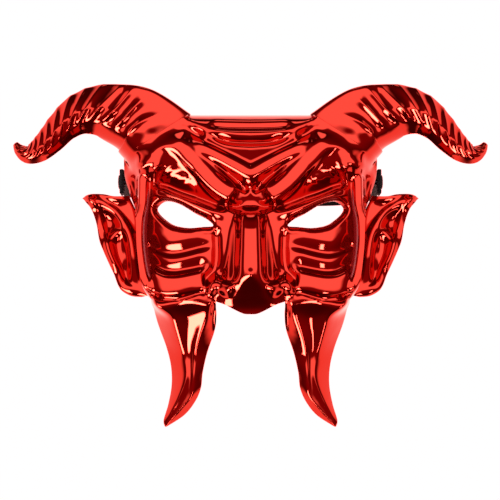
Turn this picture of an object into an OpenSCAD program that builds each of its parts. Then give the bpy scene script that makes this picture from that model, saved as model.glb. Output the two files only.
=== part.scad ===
// Devil half-mask: a thin moulded face with two hollow ram horns, two ears, two tusks and an elastic head strap.
// The mask faces -Y, +Z is up, and the origin is on the wearer's nose root, level with the eye holes.

/* [Face] */
// Half of the face's width at the temples, where the horns' lower edges land
temple_x = 76.5; // [74:0.5:92]
// Height of the temple corner above the eye line
temple_z = 35; // [32:1:40]
// Height of the forehead's top edge above the eye line
forehead_z = 61; // [56:1:68]
// Height of the jaw edge below the eye line
jaw_z = 50; // [46:1:56]
// How far the nose's point hangs below the jaw edge
chin_drop = 8.5; // [5:0.5:12]
// How far the middle of the face stands in front of its rim
face_depth = 30; // [22:1:38]
// How flat the face's front is before it rolls over at the sides
side_fullness = 6; // [2:0.5:8]
// How far the nose tip stands out from the face
nose_height = 24; // [16:1:30]
// Wall of the mouldings
wall = 2; // [1.6:0.1:2.6]
// Where the face's rolled edge turns straight back, behind the origin
rim_y = 10; // [8:1:14]
// Where the flat back rim ends, behind the origin
back_y = 32; // [30:1:38]

/* [Eyes] */
// From the face's middle to the middle of an eye hole
eye_x = 39.5; // [37:0.5:42]
// Length of an eye hole
eye_length = 37; // [30:1:38]
// Height of an eye hole
eye_height = 13; // [10:0.5:15]
// How far an eye hole slants down towards the nose, in degrees
eye_slant = 16; // [8:1:20]

/* [Horns] */
// Size of the horns against their drawn path
horn_scale = 1; // [0.8:0.02:1.2]
// Depth of the horns, front to back, as a share of their width
horn_flatness = 0.82; // [0.7:0.01:0.95]
// The same at their roots
root_flatness = 1.05; // [0.8:0.01:1.15]
// Number of growth ridges on a horn
horn_ridges = 12; // [6:1:14]
// Height of the growth ridges
ridge_height = 1.8; // [0:0.1:2.5]
// Diameter of the pegs that hold a horn to the face
peg_d = 4; // [3:0.5:6]
// How far the two pegs stand apart along the joint
peg_spacing = 22; // [14:1:28]

/* [Ears] */
// How far an ear stands out from the side of the face
ear_reach = 30; // [20:1:40]
// How deep the ear's shell is dished
ear_dish = 5; // [2:0.5:8]

/* [Tusks] */
// Length of a tusk below the jaw edge
tusk_length = 77; // [60:1:95]
// How far a tusk's ridge stands in front of its edges
tusk_ridge = 9; // [6:0.5:12]

/* [Strap] */
// Width of the elastic strap
strap_width = 15; // [10:1:17]
// Thickness of the elastic
strap_thickness = 1.4; // [1:0.1:2]
// Height of the strap's rivets above the eye line
rivet_z = 21; // [19:1:23]
// Diameter of the rivets' shanks
rivet_d = 4; // [3:0.5:5]
// How far the strap's folded end reaches back over itself
fold_length = 16; // [13:1:24]
// How far the strap's loop droops behind the mask, in degrees
strap_droop = 3; // [0:1:8]

/* [Hidden] */
$fn = 48;

red = "#c8141c";
dark_red = "#7c0a12";
black = "#141416";
steel = "#8c8c90";

joint_gap = 0.02;     // pieces that are glued together stop this far apart
running_gap = 0.3;    // space round whatever turns
across = 22;          // columns of the face's grid, from the middle to one side
rows = 36;            // rows of the face's grid
lift = [0, 1, 0];

// ---------- curves ----------

function lerp(a, b, t) = a + (b - a) * t;
function clamp01(t) = max(0, min(1, t));
function smooth(t) = let (c = clamp01(t)) c * c * (3 - 2 * c);

// A point on the smooth curve through all the points, t from 0 to 1
function spline(points, t) =
    let (
        spans = len(points) - 1,
        at = clamp01(t) * spans,
        i = min(floor(at), spans - 1),
        f = at - i,
        a = points[max(i - 1, 0)],
        b = points[i],
        c = points[i + 1],
        d = points[min(i + 2, spans)]
    )
    0.5 * (2 * b + (c - a) * f + (2 * a - 5 * b + 4 * c - d) * f * f + (3 * b - a - 3 * c + d) * f * f * f);

// Distance from a point to a segment, and to a line of segments
function to_segment(p, a, b) =
    let (ab = b - a, t = clamp01((p - a) * ab / (ab * ab)))
    norm(p - a - ab * t);
function to_line(p, line) = min([for (i = [0:len(line) - 2]) to_segment(p, line[i], line[i + 1])]);

// A rounded swelling along a line, highest on the line itself
function swell(p, line, width, height) = height * exp(-pow(to_line(p, line) / width, 2));

// ---------- the face's outline ----------

// The face's columns crowd towards the sides, where the surface rolls over
function column(i) = sin(90 * i / across) * 0.75 + 0.25 * i / across;
function row(j) = lerp(j / rows, sin(90 * j / rows), 0.6);

joint_inner = [36, forehead_z];               // inner end of the horn joint, on the forehead
joint_outer = [temple_x, temple_z];           // outer end of the horn joint, at the temple
joint_way = (joint_outer - joint_inner) / norm(joint_outer - joint_inner);
joint_out = [-joint_way[1], joint_way[0]];    // square to the joint, towards the horn
joint_middle = (joint_inner + joint_outer) / 2;
joint_half = norm(joint_outer - joint_inner) / 2;
nose_corner = [20.5, -jaw_z - 1];
jaw_corner = [60, -jaw_z];
chin = [0, -jaw_z - chin_drop];
crown = [0, forehead_z];
side_line = [
    jaw_corner,
    jaw_corner + [4.5, 8],
    [temple_x - 9, -20],
    [temple_x - 8, 0],
    [temple_x - 4.5, 11],
    [temple_x - 0.8, 23],
    joint_outer
];
top_corner_at = 0.5;      // share of the columns on the forehead's side of the horn joint
jaw_column = 6;           // column of the face where the tusk's inner edge starts
bottom_corner_at = column(jaw_column);

function top_edge(u) =
    u < top_corner_at ? lerp(crown, joint_inner, u / top_corner_at)
    : lerp(joint_inner, joint_outer, (u - top_corner_at) / (1 - top_corner_at));
function bottom_edge(u) =
    u < bottom_corner_at ? lerp(chin, nose_corner, u / bottom_corner_at)
    : lerp(nose_corner, jaw_corner, (u - bottom_corner_at) / (1 - bottom_corner_at));
function side_edge(v) = spline(side_line, v);
function middle_edge(v) = lerp(chin, crown, v);

// A point of the face seen from the front: u from the middle to the side, v from the jaw to the top
function face_xz(u, v) =
    lerp(bottom_edge(u), top_edge(u), v) + lerp(middle_edge(v), side_edge(v), u)
    - lerp(lerp(chin, jaw_corner, u), lerp(crown, joint_outer, u), v);

// ---------- the face's relief ----------

eye_middle = [eye_x, -1.5];
// The upper lid is highest towards the temple, the lower lid is an even bow
function eye_point(angle) =
    let (
        along = cos(angle) * eye_length / 2,
        lid = sin(angle) > 0 ? 0.55 * (1 + 0.35 * cos(angle)) : 0.45,
        up = sin(angle) * lid * eye_height
    )
    eye_middle + [
        along * cos(eye_slant) - up * sin(eye_slant),
        along * sin(eye_slant) + up * cos(eye_slant)
    ];
eye_outline = [for (i = [0:19]) eye_point(i * 18)];
eye_loop = concat(eye_outline, [eye_outline[0]]);

brow_lobe = [[12, 14], [28, 25], [46, 41]];
brow_dome = [[49, 30], [58, 26]];
frown_band = [[0, 26], [20, 34], [42, 46]];
socket = [[25, -4], [40, 1], [56, 5]];
wing = [[15, -36], [18, -41]];
cheek_ribs = [
    [[62, -5], [44, -14], [25, -12]],
    [[62, -17], [44, -25], [23, -21]],
    [[62, -28], [44, -34], [25, -29]]
];
cheek_lobe = [[58, -38], [42, -42], [27, -38]];
lower_panel = [[30, -49], [50, -47]];
wrinkles = [
    [[0, 53], [22, 53]],
    [[0, 45], [23, 46]],
    [[0, 34], [12, 37], [28, 46]]
];
forehead_pit = [[31, 45], [38, 52]];

nose_root_z = 12;
nose_tip_z = -36;
function nose(p) =
    let (
        down = (nose_root_z - p[1]) / (nose_root_z - nose_tip_z),
        under = clamp01((nose_tip_z - p[1]) / 22),
        height = nose_height * (down < 1 ? 0.15 + 0.85 * smooth(down) : 1 - 0.75 * under),
        width = lerp(8, 14, smooth(down))
    )
    (down < 0 ? 0.15 * nose_height * exp(-pow(down * 3, 2)) : height) * exp(-pow(p[0] / width, 2));

function relief(p) =
    nose(p)
    + swell(p, brow_lobe, 8, 7)
    + swell(p, brow_dome, 11, 4)
    + swell(p, frown_band, 5, 3)
    + swell(p, socket, 9, -5)
    + swell(p, eye_loop, 3, 3)
    + swell(p, wing, 5, 6)
    + [for (rib = cheek_ribs) swell(p, rib, 3.6, 3)] * [1, 1, 1]
    + swell(p, cheek_lobe, 6, 4)
    + swell(p, lower_panel, 6, -3)
    + [for (wrinkle = wrinkles) swell(p, wrinkle, 3, -2.5)] * [1, 1, 1]
    + swell(p, forehead_pit, 5, -4);

// How far the horn's root stands in front of the rim, along the joint
function horn_bulge(u) =
    let (t = clamp01((u - top_corner_at) / (1 - top_corner_at)) * 2 - 1)
    joint_half * root_flatness * sqrt(1 - t * t);

// How far the face stands in front of its rim: it rolls over at the sides and at the crown,
// and runs into the horn's root along the joint
function dome(u, v) =
    let (
        side = pow(1 - pow(u, side_fullness), 1 / side_fullness),
        rolled = sqrt(1 - pow(v, 9)),
        open = 1 - pow(v, 5),
        top = lerp(rolled, open, smooth((u - top_corner_at) / 0.2))
    )
    lerp(horn_bulge(u), face_depth * side, top);

function face_y(u, v) =
    let (p = face_xz(u, v), fade = smooth((1 - u) / 0.12) * smooth((1 - v) / 0.1))
    rim_y - dome(u, v) - relief(p) * fade;

// ---------- thin mouldings from grids ----------

// A closed shell between two grids of the same size, row by row
function flat_list(grid) = [for (row = grid) for (point = row) point];
function grid_faces(m, n, start, flip) = [
    for (j = [0:m - 2]) for (i = [0:n - 2])
        let (
            a = start + j * n + i,
            b = a + 1,
            c = a + n + 1,
            d = a + n
        )
        each flip ? [[a, b, c], [a, c, d]] : [[a, c, b], [a, d, c]]
];
function rim_loop(m, n) = concat(
    [for (i = [0:n - 2]) i],
    [for (j = [0:m - 2]) j * n + n - 1],
    [for (i = [n - 1:-1:1]) (m - 1) * n + i],
    [for (j = [m - 1:-1:1]) j * n]
);
module shell_between(front, back) {
    m = len(front);
    n = len(front[0]);
    rim = rim_loop(m, n);
    last = len(rim);
    polyhedron(
        points = concat(flat_list(front), flat_list(back)),
        faces = concat(
            grid_faces(m, n, 0, false),
            grid_faces(m, n, m * n, true),
            [for (k = [0:last - 1])
                let (a = rim[k], b = rim[(k + 1) % last])
                each [[a, b, b + m * n], [a, b + m * n, a + m * n]]]
        )
    );
}

// How much deeper than its wall a moulding measures along Y, where its surface is steep
function steepness(grid, j, i) =
    let (
        m = len(grid),
        n = len(grid[0]),
        a = grid[j][min(i + 1, n - 1)] - grid[j][max(i - 1, 0)],
        b = grid[min(j + 1, m - 1)][i] - grid[max(j - 1, 0)][i],
        c = cross(a, b)
    )
    min(2, norm(c) / max(abs(c[1]), 0.01));

face_columns = [for (i = [-across - 1:across + 1]) i];
face_rows = [for (j = [0:rows + 1]) j];

// A point of the face's outer grid; the last row and column run straight back to the rim
function face_point(i, j) =
    let (
        u = column(min(abs(i), across)),
        v = row(min(j, rows)),
        p = face_xz(u, v),
        y = abs(i) > across || j > rows ? back_y : face_y(u, v)
    )
    [sign(i) * p[0], y, p[1]];
face_front = [for (j = face_rows) [for (i = face_columns) face_point(i, j)]];
face_shrink = 1 - wall / 62;
face_back = [
    for (j = [0:len(face_rows) - 1]) [
        for (i = [0:len(face_columns) - 1])
            let (
                p = face_front[j][i],
                on_rim = i == 0 || i == len(face_columns) - 1 || j == len(face_rows) - 1,
                deep = on_rim ? 0 : wall * steepness(face_front, j, i)
            )
            [p[0] * face_shrink, p[1] + deep, p[2] * face_shrink]
    ]
];

module both_sides() {
    children();
    mirror([1, 0, 0]) children();
}

module eye_hole() {
    translate([0, back_y, 0])
        rotate([90, 0, 0])
            linear_extrude(height = back_y + face_depth + nose_height)
                polygon(eye_outline);
}

module face_shell() {
    color(red)
        difference() {
            shell_between(face_front, face_back);
            both_sides() eye_hole();
            both_sides() rivet_axis() cylinder(h = 4 * wall, d = rivet_d, center = true);
            both_sides() peg_places() cylinder(h = 4 * wall, d = peg_d, center = true);
        }
}

// ---------- horns ----------

// The horn's middle line: across, up, in or out of the page, and half its width there
horn_stations = [
    [[0, 0, 0], joint_half],
    [[12, 9, 0], 21],
    [[24, 13.5, -1], 18.3],
    [[36, 15.5, -3], 15.4],
    [[47, 13, -5], 12.6],
    [[56, 6.5, -7], 10],
    [[63.5, -2, -9], 8.6],
    [[70.5, -8.5, -10], 7.2],
    [[77, -11, -10], 5.6],
    [[82, -8.5, -9], 3.8],
    [[85, -4.5, -8], 1.6]
];
horn_root = [joint_middle[0], rim_y, joint_middle[1]]
    + [joint_out[0], 0, joint_out[1]] * joint_gap;
horn_rings = 60;
horn_sides = 20;
function horn_offset(t) = spline([for (s = horn_stations) s[0]], t);
function horn_width(t) = t <= 0 ? joint_half : spline([for (s = horn_stations) s[1]], t) * horn_scale;
function horn_middle(t) =
    let (o = horn_offset(t) * horn_scale)
    horn_root + [o[0], o[2], o[1]];
function unit(v) = v / norm(v);
// The horn leaves the joint squarely, then follows its middle line
function horn_way(t) =
    let (
        square = [joint_out[0], 0, joint_out[1]],
        own = unit(horn_middle(min(1, t + 0.02)) - horn_middle(max(0, t - 0.02)))
    )
    unit(lerp(square, own, smooth(t / 0.12)));
function ridge(t, angle) =
    let (
        lean = 0.9 * lerp(0.1, 0.6, t) * sin(angle),
        phase = (t * horn_ridges + lean) * 180,
        face = smooth(0.6 + 0.6 * cos(angle) + 0.5 * sin(angle)),
        fade = smooth(t / 0.08) * smooth((1 - t) / 0.4)
    )
    ridge_height * (0.5 - abs(sin(phase))) * face * fade;
function horn_ring(t, inset, sides) =
    let (
        way = horn_way(t),
        up = unit(cross(way, lift)),
        side = cross(up, way),
        half = horn_width(t) - inset,
        flatness = lerp(root_flatness, horn_flatness, smooth(t / 0.4))
    )
    [for (k = [0:sides - 1])
        let (
            angle = k * 360 / sides,
            r = inset > 0 ? half : half + ridge(t, angle)
        )
        horn_middle(t) + up * (r * sin(angle)) - side * (r * flatness * cos(angle))];

// A closed solid through rings of the same number of points
module solid_through(rings) {
    m = len(rings);
    n = len(rings[0]);
    polyhedron(
        points = flat_list(rings),
        faces = concat(
            [[for (k = [n - 1:-1:0]) k]],
            [for (j = [0:m - 2]) for (k = [0:n - 1])
                let (
                    a = j * n + k,
                    b = j * n + (k + 1) % n
                )
                each [[a, b + n, a + n], [a, b, b + n]]],
            [[for (k = [0:n - 1]) (m - 1) * n + k]]
        )
    );
}

// Both pegs' places on the inside of the joint, with +Z running out into the horn
module peg_places() {
    for (way = [-1, 1])
        translate([joint_middle[0], rim_y, joint_middle[1]])
            translate([joint_way[0], 0, joint_way[1]] * way * peg_spacing / 2)
                rotate([0, atan2(joint_out[0], joint_out[1]), 0])
                    children();
}

horn_start = 0.02;
horn_end = 0.85;
module horn() {
    skin = [for (j = [0:horn_rings]) horn_ring(j / horn_rings, 0, horn_sides)];
    hollow = [for (j = [0:12]) horn_ring(lerp(horn_start, horn_end, j / 12), wall + 0.6, 12)];
    color(red)
        difference() {
            solid_through(skin);
            solid_through(hollow);
            peg_places() cylinder(h = 4 * wall, d = peg_d, center = true);
        }
}

// A round peg with a flat head on the inside of the mask, pressed into the horn's root
peg_head_d = 2 * peg_d;
peg_head_h = 1.5;
peg_length = 2.5 * wall;
flange = wall * 1.25;     // the joint's flange, from its inside face to the horn
module horn_pegs() {
    color(dark_red)
        peg_places() {
            translate([0, 0, -flange]) cylinder(h = flange + peg_length, d = peg_d - 0.05);
            translate([0, 0, -flange - peg_head_h]) cylinder(h = peg_head_h, d = peg_head_d);
        }
}

// ---------- ears ----------

ear_low_row = 2;          // rows of the face where the ear's root starts and ends
ear_high_row = 20;
ear_y = 15.5;             // depth of the ear's root, just behind the face's rolled edge
ear_columns = 12;
ear_rows = ear_high_row - ear_low_row;
drawn_jaw = 50;
// The ear's outer edge: how far out from the face's side, and its height above the eye line
// on a jaw edge 50 below it
ear_edge_line = [
    [0.1, -49], [0.28, -47.5], [0.5, -41], [0.63, -28], [0.77, -12], [0.86, 2], [1, 11]
];
function ear_xz(u, j) =
    let (
        root = side_edge(row(ear_low_row + j)),
        edge = spline(ear_edge_line, j / ear_rows),
        edge_z = edge[1] < 0 ? edge[1] * jaw_z / drawn_jaw : edge[1],
        tip_x = root[0] + joint_gap + edge[0] * ear_reach
    )
    [lerp(root[0] + joint_gap, tip_x, u), lerp(root[1], edge_z, u)];
function ear_front_y(u, v) =
    let (
        helix = 4 * exp(-pow((1 - u) / 0.16, 2)),
        inner_fold = 2.5 * exp(-pow((u - 0.42) / 0.14, 2)) * smooth(v / 0.4),
        dish = ear_dish * pow(sin(180 * clamp01(u * 0.95)), 2)
    )
    ear_y + 3 * u * u + (dish - inner_fold) * 0.6 - helix * smooth((1 - v) / 0.1 + 0.3);
module ear() {
    front = [for (j = [0:ear_rows]) [for (i = [0:ear_columns])
        let (u = i / ear_columns, p = ear_xz(u, j))
        [p[0], ear_front_y(u, j / ear_rows), p[1]]]];
    back = [for (line = front) [for (p = line) p + [0, wall, 0]]];
    color(red) shell_between(front, back);
}

// ---------- tusks ----------

tusk_columns = across - jaw_column;
tusk_rows = 26;
// Edges of a tusk: across, and down from the jaw edge on a tusk of 77
tusk_drawn = 77;
tusk_outer = [
    [60, 0], [56, 14.5], [50.8, 28.8], [47.9, 40.4], [47.6, 51.8], [49.6, 63.3], [52.2, 73], [51.5, 77]
];
tusk_inner = [
    [20.5, 1], [20.3, 9.3], [23.8, 24.3], [28.4, 39.2], [29.3, 49.5], [33, 61], [40.4, 69], [50, 76.5]
];
ridge_at = 0.62;          // where a tusk's ridge runs, from its outer to its inner edge
// Share of the tusk's width at each of the face's columns, from its outer edge
function tusk_column(i) = (1 - column(across - i)) / (1 - bottom_corner_at);
function tusk_xz(s, t) =
    let (
        drawn = lerp(spline(tusk_outer, t), spline(tusk_inner, t), s),
        at_jaw = bottom_edge(lerp(1, bottom_corner_at, s)),
        down = (drawn[1] - lerp(0, 1, s)) * tusk_length / tusk_drawn
    )
    [drawn[0], at_jaw[1] - joint_gap - down];
function tusk_front_y(s, t) =
    let (
        at_jaw = face_y(lerp(1, bottom_corner_at, s), 0),
        ridge = s < ridge_at ? s / ridge_at : (1 - s) / (1 - ridge_at),
        own = lerp(2, -6, s) + 6 * t * t - tusk_ridge * ridge * sqrt(1 - t * 0.9)
    )
    lerp(at_jaw, own, smooth(t / 0.35));
module tusk() {
    front = [for (j = [tusk_rows:-1:0]) [for (i = [tusk_columns:-1:0])
        let (s = tusk_column(i), t = j / tusk_rows, p = tusk_xz(s, t))
        [p[0], tusk_front_y(s, t), p[1]]]];
    back = [for (j = [0:tusk_rows]) [for (i = [0:tusk_columns])
        front[j][i] + [0, wall * steepness(front, j, i), 0]]];
    color(red) shell_between(front, back);
}

// ---------- strap and its rivets ----------

rivet_y = back_y - 8;
rivet_head_d = 2.1 * rivet_d;
rivet_head_h = 1.2;
rivet_shoulder_d = 1.6 * rivet_d;
strap_inside = temple_x + running_gap;                  // the strap's inner face, beside the temple
strap_fold = strap_inside + strap_thickness;            // where its folded end lies on it
strap_outside = strap_fold + strap_thickness;
shell_side = spline(side_line, 0.8)[0];                 // the face's side wall, near the rivet
arm_length = 22;
stitch = 0.3;

module rivet_axis() {
    translate([shell_side, rivet_y, rivet_z]) rotate([0, 90, 0]) children();
}

// Shank, shoulder against the face's side, and head outside the strap
module rivet() {
    inner_end = temple_x - 8;
    head = strap_outside + running_gap;
    shoulder = shell_side + 1.2;
    color(steel)
        translate([0, rivet_y, rivet_z])
            rotate([0, 90, 0]) {
                translate([0, 0, inner_end]) cylinder(h = head - inner_end, d = rivet_d - 0.1);
                translate([0, 0, head]) cylinder(h = rivet_head_h, d = rivet_head_d);
                translate([0, 0, shoulder])
                    cylinder(h = strap_inside - running_gap - shoulder, d = rivet_shoulder_d);
            }
}

// Pressed on the shank, on the inside of the face's wall
cap_h = 2;
cap_top = shell_side * face_shrink - 1.4;
module rivet_cap() {
    color(steel)
        translate([cap_top - cap_h, rivet_y, rivet_z])
            rotate([0, 90, 0])
                difference() {
                    cylinder(h = cap_h, d = rivet_head_d);
                    translate([0, 0, -1]) cylinder(h = cap_h + 2, d = rivet_d - 0.1);
                }
}

// Everything on the strap is drawn about the rivets' axis, with the loop drooping behind
module on_strap() {
    translate([0, rivet_y, rivet_z])
        rotate([-strap_droop, 0, 0])
            children();
}

// The round end with the strap folded back over its outside, seen from the side
module strap_end() {
    translate([strap_inside, 0, 0])
        rotate([90, 0, 90])
            linear_extrude(height = 2 * strap_thickness)
                union() {
                    circle(d = strap_width);
                    translate([0, -strap_width / 2]) square([fold_length, strap_width]);
                }
}

// Both arms and the bend behind the head, seen from above
module strap_plan() {
    difference() {
        union() {
            translate([0, arm_length]) circle(r = strap_fold, $fn = 96);
            translate([-strap_fold, 0]) square([2 * strap_fold, arm_length]);
        }
        translate([0, arm_length]) circle(r = strap_inside, $fn = 96);
        translate([-strap_inside, -1]) square([2 * strap_inside, arm_length + 1]);
        translate([-strap_fold, -strap_fold]) square([2 * strap_fold, strap_fold]);
    }
}

module strap() {
    color(black)
        on_strap()
            difference() {
                union() {
                    translate([0, 0, -strap_width / 2])
                        linear_extrude(height = strap_width) strap_plan();
                    both_sides() strap_end();
                }
                rotate([0, 90, 0])
                    cylinder(h = 2 * temple_x + 40, r = rivet_d / 2 + running_gap, center = true);
            }
}

// Three rows of stitches across the folded end
module strap_stitching() {
    color("#2a2a2e")
        on_strap()
            for (row = [0:2])
                translate([strap_outside, fold_length - 2 - 1.6 * row, -strap_width / 2 + 1])
                    cube([stitch, 0.8, strap_width - 2]);
}

face_shell();
mirror([1, 0, 0]) horn();  // horn_left
horn();  // horn_right
mirror([1, 0, 0]) horn_pegs();  // horn_pegs_left
horn_pegs();  // horn_pegs_right
mirror([1, 0, 0]) ear();  // ear_left
ear();  // ear_right
mirror([1, 0, 0]) tusk();  // tusk_left
tusk();  // tusk_right
mirror([1, 0, 0]) rivet();  // rivet_left
rivet();  // rivet_right
mirror([1, 0, 0]) rivet_cap();  // rivet_cap_left
rivet_cap();  // rivet_cap_right
strap();
mirror([1, 0, 0]) strap_stitching();  // strap_stitching_left
strap_stitching();  // strap_stitching_right
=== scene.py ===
import math

import bpy
import numpy as np
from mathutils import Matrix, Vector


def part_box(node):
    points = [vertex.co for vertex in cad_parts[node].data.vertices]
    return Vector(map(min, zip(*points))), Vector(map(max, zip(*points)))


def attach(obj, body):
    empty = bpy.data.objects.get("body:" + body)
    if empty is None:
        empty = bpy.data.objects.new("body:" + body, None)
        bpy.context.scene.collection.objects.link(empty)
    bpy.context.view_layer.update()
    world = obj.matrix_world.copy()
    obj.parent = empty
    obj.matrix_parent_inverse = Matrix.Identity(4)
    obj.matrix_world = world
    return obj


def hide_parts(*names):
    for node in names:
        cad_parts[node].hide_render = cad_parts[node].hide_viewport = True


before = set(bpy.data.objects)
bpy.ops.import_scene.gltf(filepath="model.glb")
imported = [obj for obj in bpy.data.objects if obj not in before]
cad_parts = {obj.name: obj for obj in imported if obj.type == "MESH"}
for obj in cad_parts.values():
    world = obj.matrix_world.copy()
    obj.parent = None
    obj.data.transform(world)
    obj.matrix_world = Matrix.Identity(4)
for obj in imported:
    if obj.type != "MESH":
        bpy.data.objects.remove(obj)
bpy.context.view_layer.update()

# Lengths are in millimetres until a mesh is made. The mask faces -Y, and left and right are
# as seen from in front of it: left is -X.
MM = 0.001


# ---------- curves ----------

def smooth(t):
    c = np.clip(t, 0, 1)
    return c * c * (3 - 2 * c)


def lerp(a, b, t):
    return a + (b - a) * t


def spline(points, t):
    """Points on the smooth curve through all the points, t from 0 to 1."""
    p = np.asarray(points, float)
    spans = len(p) - 1
    at = np.clip(t, 0, 1) * spans
    i = np.minimum(np.floor(at).astype(int), spans - 1)
    f = (at - i)[..., None]
    a, b = p[np.maximum(i - 1, 0)], p[i]
    c, d = p[i + 1], p[np.minimum(i + 2, spans)]
    curve = 2 * b + (c - a) * f + (2 * a - 5 * b + 4 * c - d) * f ** 2
    return 0.5 * (curve + (3 * b - a - 3 * c + d) * f ** 3)


def graph(points, at):
    """The height of a smooth graph through (place, height) pairs."""
    pairs = sorted(points)
    places = np.linspace(0, 1, 200)
    curve = spline(pairs, places)
    return np.interp(at, curve[:, 0], curve[:, 1])


def near(x, z, line, steps=32):
    """Signed distance to a curve, positive on the left of its way, and the place along it."""
    way = spline(line, np.linspace(0, 1, steps + 1))
    best = np.full(x.shape, 1e9)
    side = np.ones(x.shape)
    along = np.zeros(x.shape)
    for k in range(steps):
        a = way[k]
        ab = way[k + 1] - a
        t = np.clip(((x - a[0]) * ab[0] + (z - a[1]) * ab[1]) / (ab @ ab), 0, 1)
        dx = x - a[0] - t * ab[0]
        dz = z - a[1] - t * ab[1]
        far = np.hypot(dx, dz)
        closer = far < best
        best = np.where(closer, far, best)
        side = np.where(closer, np.where(ab[0] * dz - ab[1] * dx > 0, 1, -1), side)
        along = np.where(closer, (k + t) / steps, along)
    return best * side, along


def taper(along, start, end):
    rise = smooth(along / start) if start else 1
    fall = smooth((1 - along) / end) if end else 1
    return rise * fall


def fold(x, z, line, reach, drop, ends=(0, 0.2), crisp=0.8, power=1.25):
    """The surface sinks slowly towards a line from its left and comes back out at once on its right."""
    d, along = near(x, z, line)
    ramp = np.clip(1 - d / reach, 0, 1) ** power
    return -drop * taper(along, *ends) * ramp * smooth((d + crisp) / (2 * crisp))


def ribbon(x, z, line, half, height, ends=(0.15, 0.15), power=3):
    """A raised band with a flat top and rounded sides."""
    d, along = near(x, z, line)
    return height * taper(along, *ends) * (1 - np.clip(np.abs(d) / half, 0, 1) ** power)


def groove(x, z, line, width, depth, ends=(0.15, 0.15)):
    d, along = near(x, z, line)
    return -depth * taper(along, *ends) * np.exp(-(d / width) ** 2)


def rounded_max(a, b, soft=0.8):
    return (a + b + np.sqrt((a - b) ** 2 + soft ** 2)) / 2


def raised(own, level, x, z, line, half, fall, ends=(0.1, 0.1), power=4):
    """Bring a band up to a level of its own, with a flat top and steep rounded sides."""
    d, along = near(x, z, line)
    top = level - fall * (np.abs(d) / half) ** power - fall * (1 - taper(along, *ends))
    return rounded_max(own, np.maximum(top, own - 20))


def bump(x, z, centre, radii, height, power=2):
    far = ((x - centre[0]) / radii[0]) ** 2 + ((z - centre[1]) / radii[1]) ** 2
    return height * np.exp(-far ** (power / 2))


# ---------- the face's outline, on the CAD face's corners ----------

face_low, face_high = (np.array(c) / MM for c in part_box("face_shell"))
temple_x = face_high[0]
forehead_z = face_high[2]
back_y = face_high[1]
temple_z = 35
jaw_z = -50
rim_y = 10
face_depth = 30
side_wall_stand = 27
cheek_turn = 7.5
bead_stand = 25
wall = 2
# The inside is drawn in by a wall at this distance from the middle
middle_reach = 62
inner_shrink = 1 - wall / middle_reach
joint_inner = np.array([36, forehead_z])
joint_outer = np.array([temple_x, temple_z])
joint_middle = (joint_inner + joint_outer) / 2
joint_half = np.linalg.norm(joint_outer - joint_inner) / 2
joint_way = (joint_outer - joint_inner) / (2 * joint_half)
joint_out = np.array([-joint_way[1], joint_way[0]])
root_bulge = joint_half * 1.05
chin = np.array([0, face_low[2]])
crown = np.array([0, forehead_z])
nose_corner = np.array([20.5, jaw_z - 1])
jaw_corner = np.array([60, jaw_z])
side_line = [
    jaw_corner,
    jaw_corner + [4.5, 8],
    (temple_x - 9, -20),
    (temple_x - 8, 0),
    (temple_x - 4.5, 11),
    (temple_x - 0.8, 23),
    joint_outer,
]
top_corner_at = 0.5
bottom_corner_at = 0.3797
chin_line = [chin, (4, chin[1] + 0.3), (9, chin[1] + 2.5), (15, chin[1] + 5.7), nose_corner]


def edge_through(a, b, c, corner_at, u):
    first = lerp(a, b, (u / corner_at)[..., None])
    second = lerp(b, c, ((u - corner_at) / (1 - corner_at))[..., None])
    return np.where((u < corner_at)[..., None], first, second)


def face_xz(u, v):
    top = edge_through(crown, joint_inner, joint_outer, top_corner_at, u)
    jaw = lerp(nose_corner, jaw_corner, ((u - bottom_corner_at) / (1 - bottom_corner_at))[..., None])
    bottom = np.where((u < bottom_corner_at)[..., None], spline(chin_line, u / bottom_corner_at), jaw)
    middle = lerp(chin, crown, v[..., None])
    side = spline(side_line, v)
    low_corners = lerp(chin, jaw_corner, u[..., None])
    high_corners = lerp(crown, joint_outer, u[..., None])
    corners = lerp(low_corners, high_corners, v[..., None])
    return lerp(bottom, top, v[..., None]) + lerp(middle, side, u[..., None]) - corners


# ---------- eye holes ----------

# Across and up, round the right-hand hole
eye_line = [
    (57.2, 4.7), (53.8, 8.1), (49.5, 8.8), (41.6, 6.6), (32.4, 1.1), (25.7, -2.3), (22.2, -6.1),
    (29.3, -6.9), (37.9, -7.5), (46.5, -6), (52, -2.6), (56, 1.2),
]


def closed(points, steps):
    """A smooth loop through the points."""
    ring = list(points) * 3
    n = len(points)
    t = np.linspace(n, 2 * n, steps, endpoint=False) / (3 * n - 1)
    return spline(ring, t)


eye_loop = closed(eye_line, 96)


def to_loop(x, z, loop):
    """Distance to a closed loop, less than nothing inside it, and the nearest point on it."""
    best = np.full(x.shape, 1e9)
    spot = np.zeros(x.shape + (2,))
    inside = np.zeros(x.shape, bool)
    for a, b in zip(loop, np.roll(loop, -1, axis=0)):
        ab = b - a
        t = np.clip(((x - a[0]) * ab[0] + (z - a[1]) * ab[1]) / (ab @ ab), 0, 1)
        px, pz = a[0] + t * ab[0], a[1] + t * ab[1]
        far = np.hypot(x - px, z - pz)
        closer = far < best
        best = np.where(closer, far, best)
        spot = np.where(closer[..., None], np.stack([px, pz], -1), spot)
        crosses = ((a[1] > z) != (b[1] > z)) & (x < a[0] + (z - a[1]) * ab[0] / (ab[1] + 1e-12))
        inside ^= crosses
    return np.where(inside, -best, best), spot


# ---------- the face's relief ----------

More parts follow.
